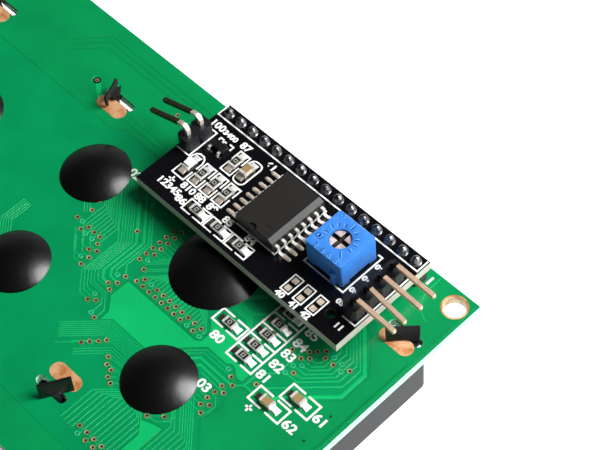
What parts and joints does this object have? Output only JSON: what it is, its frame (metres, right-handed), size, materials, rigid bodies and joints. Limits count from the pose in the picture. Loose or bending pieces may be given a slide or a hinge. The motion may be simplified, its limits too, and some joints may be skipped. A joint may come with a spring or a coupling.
{
  "type": "character lcd module",
  "caption": "Character display module lying face down: steel bezel with tabs, green board with resin domes and a stacked serial adapter with a contrast trimmer.",
  "frame": {"origin": "centre of the display board in plan, on the plane of the bezel front face, on which the module lies", "axes": "+X along the display towards header pin 1, +Y towards the board edge with the 16-way header, +Z out of the component side"},
  "size_m": [0.098, 0.06, 0.0185],
  "materials": {
    "green_board": "green solder mask over glass-fibre laminate, semi-gloss",
    "black_board": "black solder mask, glossy",
    "bezel_steel": "black-coated sheet steel, satin",
    "polariser": "polarising film",
    "glass": "clear display glass",
    "elastomer": "striped elastomer",
    "white_plastic": "white moulding",
    "light_guide": "diffusing acrylic",
    "resin": "black epoxy, glossy",
    "black_plastic": "black moulding, satin",
    "pin_metal": "thinly gilded brass",
    "solder": "bright solder",
    "tinned_lead": "tinned copper alloy",
    "blue_plastic": "blue moulding, semi-gloss",
    "rotor_plastic": "off-white moulding",
    "ceramic": "white ceramic plate",
    "resistor_ceramic": "black overcoat with tinned end caps",
    "capacitor_ceramic": "tan ceramic with tinned end caps"
  },
  "bodies": {
    "module": {"lcd_board": "green_board", "bezel": "bezel_steel", "front_polariser": "polariser", "front_glass": "glass", "rear_glass": "glass", "rear_polariser": "polariser", "contact_strip_upper": "elastomer", "contact_strip_lower": "elastomer", "backlight_frame": "white_plastic", "light_guide": "light_guide", "backlight_board": "white_plastic", "backlight_leads": "solder", "controller_blob": "resin", "driver_blob_1": "resin", "driver_blob_2": "resin", "driver_blob_3": "resin", "driver_blob_4": "resin", "oscillator_resistor": "resistor_ceramic", "bias_resistor_1": "resistor_ceramic", "bias_resistor_2": "resistor_ceramic", "bias_resistor_3": "resistor_ceramic", "bias_resistor_4": "resistor_ceramic", "bias_resistor_5": "resistor_ceramic", "board_capacitor_1": "capacitor_ceramic", "board_capacitor_2": "capacitor_ceramic", "header_spacer": "black_plastic", "header_pins": "pin_metal", "board_joints": "solder", "adapter_joints": "solder", "adapter_board": "black_board", "expander_body": "black_plastic", "expander_leads": "tinned_lead", "trimmer_housing": "blue_plastic", "trimmer_base": "ceramic", "trimmer_legs": "tinned_lead", "bus_header_block": "black_plastic", "bus_header_pins": "pin_metal", "jumper_header_block": "black_plastic", "jumper_header_pins": "pin_metal", "power_led": "white_plastic", "adapter_resistor_1": "resistor_ceramic", "adapter_resistor_2": "resistor_ceramic", "adapter_resistor_3": "resistor_ceramic", "adapter_resistor_4": "resistor_ceramic", "adapter_resistor_5": "resistor_ceramic", "adapter_resistor_6": "resistor_ceramic", "adapter_resistor_7": "resistor_ceramic", "decoupling_capacitor": "capacitor_ceramic", "transistor_body": "black_plastic", "transistor_legs": "tinned_lead"},
    "rotor": {"trimmer_rotor": "rotor_plastic"}
  },
  "joints": [
    {"name": "trimmer_turn", "type": "hinge", "parent": "module", "child": "rotor", "pos_m": [0.03145, 0.02075, 0.0175], "axis": [0, 0, 1], "range_deg": [-120, 120]}
  ]
}
